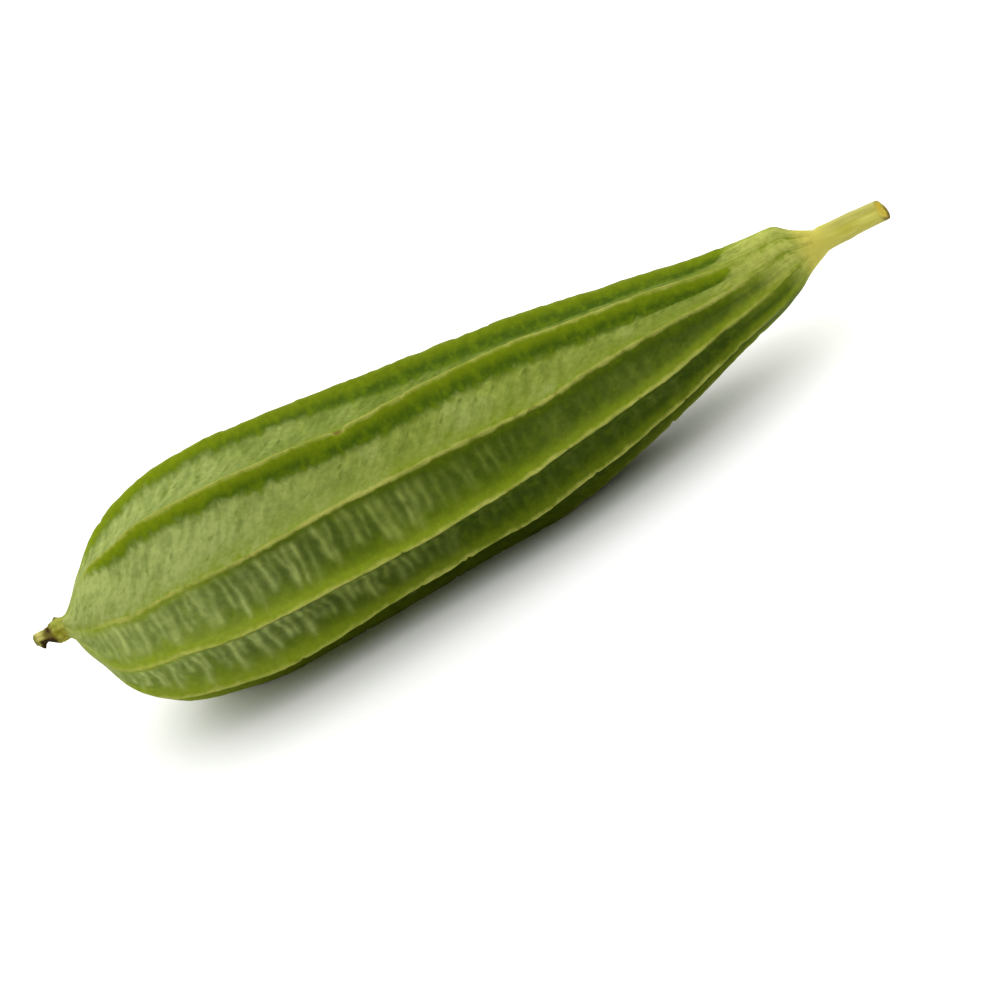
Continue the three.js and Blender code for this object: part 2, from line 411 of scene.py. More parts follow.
def solid_offset():
    """How far the turned fruit moves to lie where the solid does: the plain fruit, on the solid's
    own rows and columns, has the same sides and top as the solid."""
    along, radius, raised = (c[:, None] for c in spline(OUTLINE, np.linspace(0, 1, SOLID_ROWS)).T)
    number = np.repeat(np.arange(RIDGES), len(SOLID_SHARES))
    share = np.tile(SOLID_SHARES, RIDGES)
    angle = ridge_angle(number, along)
    space = angle - ridge_angle(number + 1, along)
    reach = section_radius(along, radius, share, space)
    plain = turn(section_points(along, raised, reach, angle - share * space)).reshape(-1, 3)
    low, high = plain.min(axis=0), plain.max(axis=0)
    middle = (FRUIT_BOX[0] + FRUIT_BOX[1] - low - high) / 2
    return np.array([middle[0], middle[1], FRUIT_BOX[1, 2] - high[2]])


OFFSET = solid_offset()


def place(points):
    """From the gourd's own axis to where it lies."""
    return turn(points) + OFFSET


# ---- Making a mesh ------------------------------------------------------

# Name of every piece's UV map.
UV_NAME = "along_and_round"


def tube_faces(rows, columns):
    """Quads from ring to ring, and a fan over each end round a point that follows the rings'."""
    start = np.arange(rows * columns).reshape(rows, columns)
    following = np.roll(start, -1, axis=1)
    quads = np.stack([start[:-1], following[:-1], following[1:], start[1:]], axis=-1).reshape(-1, 4)
    low = np.full(columns, rows * columns)
    fans = np.vstack([
        np.stack([low, following[0], start[0]], axis=-1),
        np.stack([low + 1, start[-1], following[-1]], axis=-1),
    ])
    return quads.tolist() + fans.tolist()


def unrolled(rings, arc):
    """UV of each face's corners, in metres: the distance along the rings' first column, and the
    distance round. The faces of a fan all lie on their own end's edge, at 0 round."""
    rows, columns = rings.shape[:2]
    lengths = np.linalg.norm(np.diff(rings[:, 0], axis=0), axis=1)
    along = np.concatenate([[0], np.cumsum(lengths)]) * MM
    around = np.append(arc, arc[-1] + arc[1] - arc[0]) * MM
    row, column = np.divmod(np.arange((rows - 1) * columns), columns)
    quad_u = along[np.stack([row, row, row + 1, row + 1], axis=-1)]
    quad_v = around[np.stack([column, column + 1, column + 1, column], axis=-1)]
    fan_u = np.repeat([[along[0]] * 3, [along[-1]] * 3], columns, axis=0)
    return np.concatenate([
        np.stack([quad_u, quad_v], axis=-1).reshape(-1, 2),
        np.stack([fan_u, np.zeros_like(fan_u)], axis=-1).reshape(-1, 2),
    ])


def tube_mesh(name, rings, measures, arc, material):
    """A closed tube through rings of points, given in millimetres. Rings go from the flower end to
    the stem end and turn downwards at the front. measures are named numbers for each point, kept
    as attributes, and arc is the distance round the ring to each column."""
    rows, columns = rings.shape[:2]
    points = np.vstack([rings.reshape(-1, 3), rings[0].mean(axis=0), rings[-1].mean(axis=0)]) * MM
    mesh = bpy.data.meshes.new(name)
    mesh.from_pydata(points.tolist(), [], tube_faces(rows, columns))
    mesh.polygons.foreach_set("use_smooth", np.ones(len(mesh.polygons), dtype=bool))
    mesh.uv_layers.new(name=UV_NAME).data.foreach_set("uv", unrolled(rings, arc).reshape(-1))
    for key, values in measures.items():
        flat = np.broadcast_to(values, (rows, columns)).reshape(-1)
        ends = [np.mean(flat[:columns]), np.mean(flat[-columns:])]
        layer = mesh.attributes.new(key, "FLOAT", "POINT")
        layer.data.foreach_set("value", np.concatenate([flat, ends]).astype(np.float32))
    mesh.materials.append(material)
    mesh.validate()
    piece = bpy.data.objects.new(name, mesh)
    bpy.context.scene.collection.objects.link(piece)
    return piece


# ---- The three surfaces -------------------------------------------------

def pleats(along, down, share, number):
    """Pleats across each hollow, from 0 between them to 1 on them.

    A pleat is a narrow bell curve of the distance along on top of a wide one, on a line that
    slants a little on its way down. Pleats stand at uneven distances, closer together by the
    flower end, and each has its own width, strength, slant, top and foot. Noise bends them and
    breaks them up.
    """
    random = np.random.default_rng(SEED)
    shape = (RIDGES, PLEATS_PER_SPACE)
    steps = random.uniform(0.7, 1.3, shape) * np.linspace(*PLEAT_SPACING, PLEATS_PER_SPACE)
    places = FIRST_PLEAT + np.cumsum(steps, axis=1)
    widths = random.uniform(0.4, 0.7, shape) * np.linspace(*PLEAT_WIDTH, PLEATS_PER_SPACE)
    strengths = random.uniform(0.45, 1.2, shape)
    tops = random.uniform(0.6, 2.0, shape)
    feet = random.uniform(0.72, 0.97, shape)
    slants = random.uniform(-0.08, 0.08, shape)
    bent = along + space_noise(PLEAT_BENDS, along, down, number, SEED)
    total = np.zeros(np.broadcast_shapes(bent.shape, down.shape))
    for i in range(PLEATS_PER_SPACE):
        away = (bent - slants[number, i] * down - places[number, i]) / widths[number, i]
        height = PLEAT_CORE * bell(away, 0, 1) + PLEAT_SKIRT * bell(away, 0, SKIRT_WIDTH)
        top = smoothstep(down, tops[number, i] - 0.6, tops[number, i] + 1.5)
        foot = 1 - smoothstep(share, feet[number, i] - 0.15, feet[number, i])
        total += strengths[number, i] * height * top * foot
    broken = 0.85 + space_noise(PLEAT_BREAKS, along, down, number, SEED + 2)
    fading = smoothstep(along, 4, 12) * (1 - 0.8 * smoothstep(along - PLEATS_FADE_FROM[number], 0, 45))
    return np.clip(total * broken, 0, 1) * fading * PLEATED[number]


def fruit_columns():
    """For each column of the fruit's grid, the space that it is in and its share of the way to
    the next ridge. A sine crowds the columns towards the ridges."""
    step = np.arange(COLUMNS_PER_SPACE) / COLUMNS_PER_SPACE
    crowded = step - CROWDING * np.sin(2 * np.pi * step) / (2 * np.pi)
    return np.repeat(np.arange(RIDGES), COLUMNS_PER_SPACE), np.tile(crowded, RIDGES)


def fruit_surface(settings):
    """The fruit on a grid of rows along and columns round.

    The section is the solid's own. Noise bends the ridges sideways. On it come, all as changes of
    radius: a slow unevenness; the pleats across each hollow; on each ridge's edge a small wave
    and some nicks; and a lower side that is drawn in by the flower end and fuller along the belly.
    """
    along, radius, raised = (c[:, None] for c in spline(OUTLINE, dense_steps(OUTLINE, FRUIT_ROWS)).T)
    number, share = fruit_columns()
    angle = ridge_angle(number, along)
    space = angle - ridge_angle(number + 1, along)
    width = space * radius
    # Distances across a space: to the nearest ridge, and down from its upper ridge, as a share of
    # the space and in millimetres. The upper ridge is the first one at the front, the next one at
    # the back.
    from_ridge = np.minimum(share, 1 - share) * width
    from_upper = np.where(number < RIDGES / 2, share, 1 - share)
    down = from_upper * width
    nearest = (number + (share > 0.5)) % RIDGES
    shown = relief(along)

    sideways = ridge_noise(RIDGE_SWAY, along, nearest, SEED + 5)
    turned = angle - share * space + shown * sideways * bell(from_ridge, 0, 3) / radius

    uneven = space_noise(UNEVENNESS, along, down, number, SEED + 7)
    pleat = pleats(along, down, from_upper, number)
    sunk = SUNK * smoothstep(from_ridge, 2, 5) * PLEATED[number]
    wave = ridge_noise(EDGE_WAVE, along, nearest, SEED + 9)
    nick = nicks(along, nearest)
    fuller = sum(height * bell(along, middle, extent) for middle, extent, height in LOWER_SIDE_CHANGES)
    change = uneven * smoothstep(from_ridge, 1, 6) + settings.pleat_height / MM * (pleat - sunk)
    change += bell(from_ridge, 0, 1) * (wave - nick) * shown
    change += fuller * bell(turned, LOWER_SIDE, LOWER_SIDE_WIDTH)
    change = change * smoothstep(along, *CHANGES_GROW) * (1 - smoothstep(along, *CHANGES_END))

    reach = section_radius(along, radius, share, space) + change
    reach[[0, -1]] *= np.array(END_SHARES)[:, None]
    ring_along = along.copy()
    ring_along[[0, -1]] += np.array([[-END_ROUNDING], [END_ROUNDING]])
    rings = place(section_points(ring_along, raised, reach, turned))
    rings[..., 2] = np.maximum(rings[..., 2], 0)
    measures = {
        "from_ridge": from_ridge,
        "from_upper": from_upper,
        "pleat": pleat,
        "nick": nick * bell(from_ridge, 0, 1.3),
        "along": along,
        "pale_edge": shown * PALE_EDGE[nearest],
        **space_measures(along, number, from_ridge, from_upper),
    }
    # The distance round to each column, for the UV map, taken where the fruit is about widest.
    round_body = radius.max() * (angle[0, 0] - (angle - share * space)[FRUIT_ROWS // 3])
    return rings, measures, round_body


def space_measures(along, number, from_ridge, from_upper):
    """What the tables of the spaces say at each point. Smoothstep eases it from station to station
    or from its first distance along, and limits it to the upper or lower part of a space."""
    flank = np.where(from_upper < 0.5, eased(BARE[number], SPACE_STATIONS, along), BARE_ABOVE)
    flank = flank * smoothstep(along, *BARE_BEGINS) * (1 - smoothstep(along, *BARE_ENDS))
    on_neck = END_WAX * smoothstep(along - NECK_WAX_FROM[number], *NECK_WAX_REACH)
    on_tip = END_WAX * smoothstep(-along, *TIP_WAX_REACH)
    # Partly painted shade: the table's low wax on the lower spaces leaves them darker along the body.
    wax = np.maximum(np.maximum(eased(WAX_AND_SHADE[number], SPACE_STATIONS, along), on_neck), on_tip)
    # Painted shade: the bare rind darkens from a distance along, less on the neck, and mostly in the upper
    # part of a space, under its ridge; along the body the most shaded spaces darken further down.
    shade_growing = smoothstep(along - PAINTED_SHADE_FROM[number], 0, 38) * (1 - 0.5 * smoothstep(along, 185, 216))
    light_below = 1 - 0.75 * PAINTED_SHADE[number] * smoothstep(along, 50, 90)
    painted_shade = PAINTED_SHADE[number] * shade_growing * (1 - smoothstep(from_upper, 0.55, 0.95) * light_below)
    # Partly painted light: yellower just above the lower ridge, where the rind faces up, and less so along
    # the body.
    yellow = YELLOW_AND_LIT[number] * smoothstep(from_upper, 0.6, 0.75) * (1 - smoothstep(from_ridge, 0.8, 3.0))
    yellow = yellow * (1 - 0.5 * smoothstep(along, 85, 130))
    # Painted shade: the low part of the top and back spaces is darker.
    dull = PAINTED_SHADE_LOW[number] * smoothstep(from_upper, 0.3, 0.95)
    return {"bare": flank - from_ridge, "wax": wax, "painted_shade": painted_shade, "yellow": yellow, "dull": dull}


def nicks(along, ridge):
    """Depth of the nicks in each ridge's edge: bell curves at random places, less deep on the top
    ridge, and the deepest where one ridge was knocked."""
    random = np.random.default_rng(SEED + 11)
    shape = (RIDGES, NICKS_PER_RIDGE)
    places = random.uniform(12, 205, shape)
    widths = random.uniform(0.35, 1.2, shape)
    depths = random.uniform(0.15, 0.8, shape) ** 1.8
    depths[0] *= 0.4
    places[KNOCKED_RIDGE, 0], widths[KNOCKED_RIDGE, 0], depths[KNOCKED_RIDGE, 0] = KNOCK
    depth = np.zeros(np.broadcast_shapes(along.shape, ridge.shape))
    for nick in range(NICKS_PER_RIDGE):
        depth += depths[ridge, nick] * bell(along, places[ridge, nick], widths[ridge, nick])
    return depth


def stem_surface():
    """The stem on a grid: its foot flares over the fruit's end, and its radius eases to the waist
    and the end, with five faint ribs, finer ones and noise. Rings then close over a slanting cut
    with a raised rim and a sunk pith."""
    angle = -np.linspace(0, 2 * np.pi, STEM_SIDES, endpoint=False)[None, :]
    share, radius = (c[:, None] for c in spline(STEM_PROFILE, np.linspace(0, 1, STEM_ROWS)).T)
    rib = sum(height * np.cos(count * angle + turned) for height, count, turned in STEM_RIBS)
    rib = rib + 0.1 * noise(share * 7, angle * 2, 0, SEED + 12)
    radius = radius + rib * smoothstep(share, 0.05, 0.5)
    slant = CUT_SLANT * np.clip(share, 0, 1) ** 6 * np.cos(angle - CUT_FACING)
    along = FRUIT_LENGTH + share * STEM_LENGTH - slant
    inward, outward = CUT_RINGS[:, :1], CUT_RINGS[:, 1:]
    along = np.vstack([along, FRUIT_LENGTH + STEM_LENGTH - slant[-1:] * inward + outward])
    radius = np.vstack([radius, radius[-1:] * inward])
    cut = np.vstack([np.zeros_like(share), 1.1 - inward])
    share = np.vstack([share, np.ones_like(inward)])
    raised = STEM_RAISED * smoothstep(share, 0, 0.12) * (1 - 0.4 * smoothstep(share, 0.6, 1))
    rings = place(section_points(along, OUTLINE[-1, 2] + raised, radius, angle))
    return rings, {"along": share, "cut": cut, "up": np.sin(angle)}, -angle[0] * STEM_WAIST


def remnant_surface():
    """The remnant on a grid: it starts inside the fruit, a lobed, lumpy cone that narrows to a
    blunt style and rises a little. A dried sepal is a knob on it, a bell curve both along and
    round."""
    share = np.linspace(1, 0, REMNANT_ROWS)
    angle = -np.linspace(0, 2 * np.pi, REMNANT_SIDES, endpoint=False)[None, :]
    grown, radius = (c[:, None] for c in spline(REMNANT_PROFILE, share).T)
    along = grown * REMNANT_LENGTH
    lobes = 1 + 0.08 * grown * np.cos(5 * angle) + 0.04 * np.cos(9 * angle + 4 * grown)
    x, y = np.cos(angle) * radius, np.sin(angle) * radius
    lumps = sum(
        height * noise(along / size, x / size, y / size, SEED + 13 + layer)
        for layer, (height, size) in enumerate(REMNANT_LUMPS)
    )
    knobs = np.zeros(np.broadcast_shapes(along.shape, angle.shape))
    for degrees, distance, height in SEPALS:
        aside = np.angle(np.exp(1j * (angle - np.radians(degrees)))) * SEPAL_RADIUS
        knobs += height * bell(along, distance, SEPAL_LENGTH) * bell(aside, 0, SEPAL_WIDTH)
    radius = np.maximum(radius * lobes + lumps * smoothstep(along, 0, 1.2) + knobs, 0.3)
    raised = OUTLINE[0, 2] + REMNANT_RISE * np.clip(grown, 0, 1)
    rings = place(section_points(-along, raised, radius, angle))
    measures = {"along": along, "lump": lumps, "knob": knobs, "up": np.sin(angle)}
    return rings, measures, -angle[0] * REMNANT_WAIST


# ---- Materials ----------------------------------------------------------

# Kinds of nodes: each is the node's name and its settings. A fade takes a value, the two values
# that it fades between, and what it gives there, which is 0 and 1 unless it is said.
FADE = "MapRange", {"interpolation_type": "SMOOTHSTEP"}
BLEND = "Mix", {"data_type": "RGBA"}
DARKEN = "Mix", {"data_type": "RGBA", "blend_type": "MULTIPLY"}
CHANGE_OVER = "Mix", {}
TIMES = "Math", {"operation": "MULTIPLY"}
PLUS = "Math", {"operation": "ADD"}
MINUS = "Math", {"operation": "SUBTRACT"}
CLAMP = "Clamp", {}
GREY = "CombineColor", {}
NOISE = "TexNoise", {}
STRETCH = "Mapping", {"vector_type": "TEXTURE"}
BUMP = "Bump", {}
PLACE = "TexCoord", {}
UNROLLED = "UVMap", {"uv_map": UV_NAME}

# A typical refractive index of wax and of plant skin.
PLANT_IOR = 1.45
# How far smears and rubbed spots are turned on the unrolled rind.
SMEARS_TURNED, SPOTS_TURNED = 0.52, 0.6
# The measures that each material reads from its piece.
RIND_MEASURES = (
    "from_ridge", "from_upper", "along", "bare", "wax", "painted_shade", "yellow", "dull",
    "pleat", "nick", "pale_edge",
)
STEM_MEASURES = ("along", "cut", "up")
REMNANT_MEASURES = ("along", "lump", "knob", "up")


class Shader:
    """A material's nodes. Its piece's measures are kept in at, and add makes every node."""

    def __init__(self, name, measures=()):
        self.material = bpy.data.materials.new(name)
        self.material.use_nodes = True
        self.nodes = self.material.node_tree.nodes
        self.links = self.material.node_tree.links
        self.surface = self.nodes["Principled BSDF"]
        self.at = SimpleNamespace(**{
            measure: self.add(("Attribute", {"attribute_name": measure}), output="Fac")
            for measure in measures
        })

    def put(self, value, socket):
        """Links another node's output to the socket, or sets the socket to a number or a colour."""
        if isinstance(value, bpy.types.NodeSocket):
            self.links.new(value, socket)
        else:
            socket.default_value = linear(value) if isinstance(value, str) else value

    def add(self, kind, *values, output=None, **named):
        """A new node's output: the one of that name, or else the first that is in use. Values go
        to the inputs in use, in their order, and named values to the inputs of those names."""
        name, settings = kind
        node = self.nodes.new("ShaderNode" + name)
        for key, value in settings.items():
            setattr(node, key, value)
        for socket, value in zip([socket for socket in node.inputs if socket.enabled], values):
            self.put(value, socket)
        for key, value in named.items():
            self.put(value, node.inputs[key])
        return node.outputs[output] if output else next(socket for socket in node.outputs if socket.enabled)

    def finish(self, **surface):
        """The material, with these values on the inputs of its surface."""
        for key, value in surface.items():
            self.put(value, self.surface.inputs[key.replace("_", " ")])
        return self.material


def rind_patterns(shader):
    """Noise over the rind, from 0 to 1. Clouds of wax, flecks, a dapple and pores are as large
    every way. On the unrolled rind, smears and rubbed spots slant across the ridges, streaks run
    down it, and lines run along the neck, where they take the smears' place."""
    add = shader.add
    skin, unrolled = add(PLACE, output="Object"), add(UNROLLED)
    slanted = add(STRETCH, unrolled, Rotation=(0, 0, SMEARS_TURNED), Scale=(2.6 * MM, 9 * MM, 1))
    shorter = add(STRETCH, unrolled, Rotation=(0, 0, SPOTS_TURNED), Scale=(2.2 * MM, 5 * MM, 1))
    lengthwise = add(STRETCH, unrolled, Scale=(14 * MM, 1.2 * MM, 1))
    upright = add(STRETCH, unrolled, Scale=(3 * MM, 6 * MM, 1))
    smears = add(NOISE, slanted, Scale=1, Detail=2, Roughness=0.5)
    lines = add(NOISE, lengthwise, Scale=1, Detail=3, Roughness=0.6)
    return SimpleNamespace(
        clouds=add(NOISE, skin, Scale=1 / (14 * MM), Detail=3, Roughness=0.55),
        flecks=add(NOISE, skin, Scale=1 / (4 * MM), Detail=3, Roughness=0.6),
        dapple=add(NOISE, skin, Scale=1 / (1.5 * MM), Detail=3, Roughness=0.6),
        pores=add(NOISE, skin, Scale=1 / (0.6 * MM), Detail=2),
        smears=add(CHANGE_OVER, add(FADE, shader.at.along, 175, 200), smears, lines),
        spots=add(NOISE, shorter, Scale=1, Detail=1),
        streaks=add(NOISE, upright, Scale=1, Detail=2, Roughness=0.6),
        lines=lines,
    )


def bare_rind(shader, pattern, settings):
    """Colour of bare rind: yellow-green beside a ridge, darkening to the foot of the flank, partly its
    own green and partly painted shade in the groove, and again yellow-green in the low part of each
    hollow, partly painted light where it faces up. Painted shade makes the shaded spaces a deeper green."""
    add, at = shader.add, shader.at
    # Partly painted shade: from the ridge's edge the rind darkens to the green at the flank's foot, where
    # the groove lies in shade; the rest is its own darker green.
    colour = add(BLEND, add(FADE, at.from_ridge, 0.5, 3.8), settings.flank, settings.green)
    # Partly painted light: yellow-green again in the low part of the hollow, which faces up.
    colour = add(BLEND, add(FADE, at.from_upper, 0.5, 0.9, 0, 0.7), colour, settings.flank)
    # Painted shade: the deeper green of the shaded spaces.
    colour = add(BLEND, at.painted_shade, colour, settings.painted_shade)
    streaked = add(TIMES, add(FADE, pattern.streaks, 0.4, 0.7, 0, 0.45), add(FADE, at.painted_shade, 0, 0.6, 1, 0.4))
    colour = add(BLEND, streaked, colour, settings.flank)
    # Partly painted light: yellower just above the lower ridge.
    return add(BLEND, at.yellow, colour, settings.above)


def wax_amount(shader, pattern, kept):
    """How much wax lies on the rind: it comes in clouds and smears, is rubbed off in spots, thins
    towards the lower ridge as painted shade that darkens the low part of a hollow, and lies only
    where it is kept."""
    add, at = shader.add, shader.at
    amount = at.wax
    for share in (
        add(FADE, pattern.clouds, 0.3, 0.7, 0.75, 1.15),
        add(FADE, pattern.smears, 0.3, 0.7, 0.65, 1.22),
        add(FADE, pattern.spots, 0.62, 0.75, 1, 0.5),
        add(FADE, pattern.dapple, 0.3, 0.7, 0.92, 1.06),
        # Painted shade: less wax towards the lower ridge darkens the low part of the hollow.
        add(FADE, at.from_upper, 0.45, 0.95, 1, 0.85),
        kept,
    ):
        amount = add(TIMES, amount, share)
    return add(CLAMP, amount)


def wax_colour(shader, pattern, settings):
    """Colour of the waxed rind: paler by the flower end and in clouds, and yellower on the neck."""
    add, at = shader.add, shader.at
    colour = add(BLEND, add(FADE, at.along, 120, 35), settings.wax, settings.flower_end)
    colour = add(BLEND, add(FADE, pattern.clouds, 0.5, 0.68, 0, 0.5), colour, settings.flower_end)
    return add(BLEND, add(FADE, at.along, 190, 212), colour, settings.neck)


def with_edges(shader, pattern, colour, settings):
    """The rind's colour with the ridges' edges on it, straw-green and flecked with brown, and
    with scars where they are nicked."""
    add, at = shader.add, shader.at
    straw = add(BLEND, add(FADE, pattern.flecks, 0.6, 0.7, 0, 0.6), settings.edge, settings.scar)
    uneven = add(PLUS, at.from_ridge, add(FADE, pattern.flecks, 0.3, 0.7, -0.15, 0.35))
    edge = add(TIMES, add(FADE, uneven, 0.2, 1.1, 1, 0), at.pale_edge)
    edge = add(TIMES, edge, add(FADE, pattern.clouds, 0.35, 0.6, 0.5, 0.95))
    colour = add(BLEND, edge, colour, straw)
    return add(BLEND, add(FADE, at.nick, 0.9, 1.6, 0, 0.8), colour, settings.scar)


def rind_material(settings):
    """Luffa rind, grown, with its wax on: satin, matt and pale where the wax lies in the hollows
    and on the pleats, a saturated darker green where it has rubbed off under the ridges. Painted
    shade darkens the lower spaces and the low part of the top ones, and partly painted light
    yellows the rind above each lower ridge."""
    shader = Shader("Luffa rind, grown waxy", RIND_MEASURES)
    add, at = shader.add, shader.at
    pattern = rind_patterns(shader)

    # No wax is kept on the bare flanks, whose borders the streaks make uneven.
    kept = add(FADE, add(PLUS, at.bare, add(FADE, pattern.streaks, 0.25, 0.75, -1, 1)), 1.5, -1.7)
    amount = wax_amount(shader, pattern, kept)
    waxed = wax_colour(shader, pattern, settings)
    colour = add(BLEND, amount, bare_rind(shader, pattern, settings), waxed)

    # The pleats keep more wax than the rind between them, and show palest by the flower end.
    on_pleats = add(TIMES, at.pleat, add(TIMES, kept, add(FADE, at.along, 70, 120, 0.95, 0.7)))
    colour = add(BLEND, on_pleats, colour, add(BLEND, add(FADE, at.along, 35, 75), settings.pleat, waxed))
    colour = with_edges(shader, pattern, colour, settings)

    # The rind yellows at the stem, in uneven lines, and at the dried flower.
    stem_end = add(PLUS, at.along, add(FADE, pattern.lines, 0.3, 0.7, -1, 1))
    colour = add(BLEND, add(FADE, stem_end, 218.5, 224), colour, settings.stem_end)
    colour = add(BLEND, add(FADE, at.along, 5, 0.5, 0, 0.3), colour, settings.tip)

    # Each dapple is a little lighter or darker, and painted shade darkens the low part of some spaces.
    grain = add(TIMES, add(FADE, pattern.dapple, 0.25, 0.75, 0.9, 1.1), add(MINUS, 1, at.dull))
    height = add(PLUS, pattern.dapple, add(TIMES, pattern.pores, 0.35))
    return shader.finish(
        Base_Color=add(DARKEN, 1, colour, add(GREY, grain, grain, grain)),
        Roughness=add(FADE, amount, 0, 1, 0.55, 0.68),
        IOR=PLANT_IOR,
        Specular_IOR_Level=0.02,
        Normal=add(BUMP, Strength=0.35, Distance=0.4 * MM, Height=height),
    )


def stem_material(settings):
    """Green stalk, fibrous: satin, yellow-green, streaked along its length, yellow in the cut and
    browned on the lower side of its rim."""
    shader = Shader("Green stalk, fibrous", STEM_MEASURES)
    add, at = shader.add, shader.at
    stretched = add(STRETCH, add(UNROLLED), Scale=(7 * MM, 1.3 * MM, 1))
    fibres = add(NOISE, stretched, Scale=1, Detail=3)
    colour = add(BLEND, add(FADE, fibres, 0.3, 0.7), settings.stalk, settings.fibre)
    pith = add(BLEND, add(FADE, fibres, 0.4, 0.65), settings.pith, settings.stalk)
    lower_rim = add(TIMES, add(FADE, at.up, 0.2, -0.7), add(FADE, at.cut, 0.45, 0.2))
    for share, over in (
        (add(FADE, at.up, 0.55, 0.95, 0, 0.6), settings.weathered_and_shade),
        # Painted shade: the same colour darkens the stalk's lower side.
        (add(FADE, at.up, 0.1, -0.8, 0, 0.5), settings.weathered_and_shade),
        (add(FADE, at.along, 0.4, 0), settings.foot),
        (add(FADE, at.cut, 0.05, 0.3), pith),
        (add(TIMES, add(FADE, at.along, 0.93, 1, 0, 0.9), lower_rim), settings.rim),
    ):
        colour = add(BLEND, share, colour, over)
    return shader.finish(
        Base_Color=colour,
        Roughness=0.6,
        IOR=PLANT_IOR,
        Specular_IOR_Level=0.15,
        Normal=add(BUMP, Strength=0.4, Distance=0.3 * MM, Height=fibres),
    )


def remnant_material(settings):
    """Dried flower, withered: matt, olive-yellow at its foot, brown above and black-brown below
    where it narrows, and a pale end to the style."""
    shader = Shader("Dried flower, withered", REMNANT_MEASURES)
    add, at = shader.add, shader.at
    skin = add(PLACE, output="Object")
    patches = add(NOISE, skin, Scale=1 / (4 * MM), Detail=3, Roughness=0.6)
    specks = add(NOISE, skin, Scale=1 / (0.9 * MM), Detail=3)
    # Patches make every border along it uneven by half a millimetre.
    along = add(PLUS, at.along, add(FADE, patches, 0.3, 0.7, -0.5, 0.5))
    narrow = add(TIMES, add(FADE, along, 2.4, 4.8), add(FADE, along, 7.8, 5.6))
    pale = add(TIMES, add(FADE, along, 6.2, 7.8), add(FADE, at.up, -0.2, 0.8))
    under = add(TIMES, add(FADE, at.up, 0.4, -0.1), add(FADE, along, 2.2, 5))
    colour = add(BLEND, add(FADE, at.lump, -0.3, 0.3), settings.olive, settings.straw)
    for share, over in (
        (add(FADE, at.up, 0.4, 0.95, 0, 0.6), settings.green),
        (add(TIMES, narrow, 0.85), settings.brown),
        (pale, settings.style),
        (add(TIMES, under, add(FADE, along, 8.6, 7.4)), settings.rotted),
        (add(FADE, at.knob, 0.15, 0.55, 0, 0.85), settings.rotted),
        (add(FADE, specks, 0.62, 0.74, 0, 0.5), settings.brown),
        (add(FADE, along, 7.9, 9.2, 0, 0.9), settings.end),
    ):
        colour = add(BLEND, share, colour, over)
    return shader.finish(
        Base_Color=colour,
        Roughness=0.85,
        IOR=PLANT_IOR,
        Specular_IOR_Level=0.1,
        Normal=add(BUMP, Strength=0.6, Distance=0.4 * MM, Height=specks),
    )


# ---- What a user may change ---------------------------------------------

def colour_property(name, description, default):
    """A colour that a user may change, written like "8a9a50"."""
    description += ", as an sRGB hex value"
    return bpy.props.StringProperty(name=name, description=description, default=default)


class GourdRind(bpy.types.PropertyGroup):
    pleat_height: bpy.props.FloatProperty(
        name="Pleat height",
        description="Height of the pleats across the hollows",
        default=0.5 * MM,
        unit="LENGTH",
    )
    flank: colour_property("Flank", "Bare rind beside a ridge's edge", "72840e")
    # Partly painted shade: this green is darker than the rind's own, where the hollows lie in shade.
    green: colour_property("Green", "Bare rind in the hollows", "42590c")
    # Painted shade: bare rind in the spaces where shade falls.
    painted_shade: colour_property("Deep green", "Bare rind in the shaded spaces", "2d3e08")
    # Partly painted light: the yellow-green of rind that faces up above a ridge.
    above: colour_property("Above a ridge", "Bare rind along the foot of a hollow", "7f8e1e")
    wax: colour_property("Wax", "Waxed rind in the hollows", "85923e")
    flower_end: colour_property("Flower end", "Waxed rind by the flower end", "939f58")
    pleat: colour_property("Pleat", "Waxed pleats by the flower end", "9fac62")
    neck: colour_property("Neck", "Waxed rind on the neck", "a8ad54")
    tip: colour_property("Tip", "Rind against the dried flower", "a9a860")
    edge: colour_property("Edge", "Edges of the ridges", "a3a650")
    scar: colour_property("Scar", "Nicks and flecks on the edges", "6e5c20")
    stem_end: colour_property("Stem end", "Rind at the stem", "b8b150")


class GourdStem(bpy.types.PropertyGroup):
    stalk: colour_property("Stalk", "Skin of the stalk", "ada83e")
    # Weathered colour on the stalk's upper side, and painted shade on its lower side.
    weathered_and_shade: colour_property("Weathered", "Upper and lower side of the stalk", "96924a")
    fibre: colour_property("Fibre", "Paler fibres along the stalk", "c2bd5c")
    foot: colour_property("Foot", "Foot of the stalk", "b8b04c")
    rim: colour_property("Rim", "Browned rim of the cut", "6a5616")
    pith: colour_property("Pith", "Pith in the cut", "c8aa2a")


class GourdFlower(bpy.types.PropertyGroup):
    green: colour_property("Green", "Upper side of its foot", "8f983f")
    olive: colour_property("Olive", "Hollows of the dried flower", "7c7a1a")
    straw: colour_property("Straw", "Lumps of the dried flower", "a09b43")
    style: colour_property("Style", "Pale part of the style", "b5ad60")
    end: colour_property("End", "End of the style", "666a2c")
    brown: colour_property("Brown", "Withered parts of the dried flower", "5e4e22")
    rotted: colour_property("Rotted", "Rotted parts of the dried flower", "2c2008")


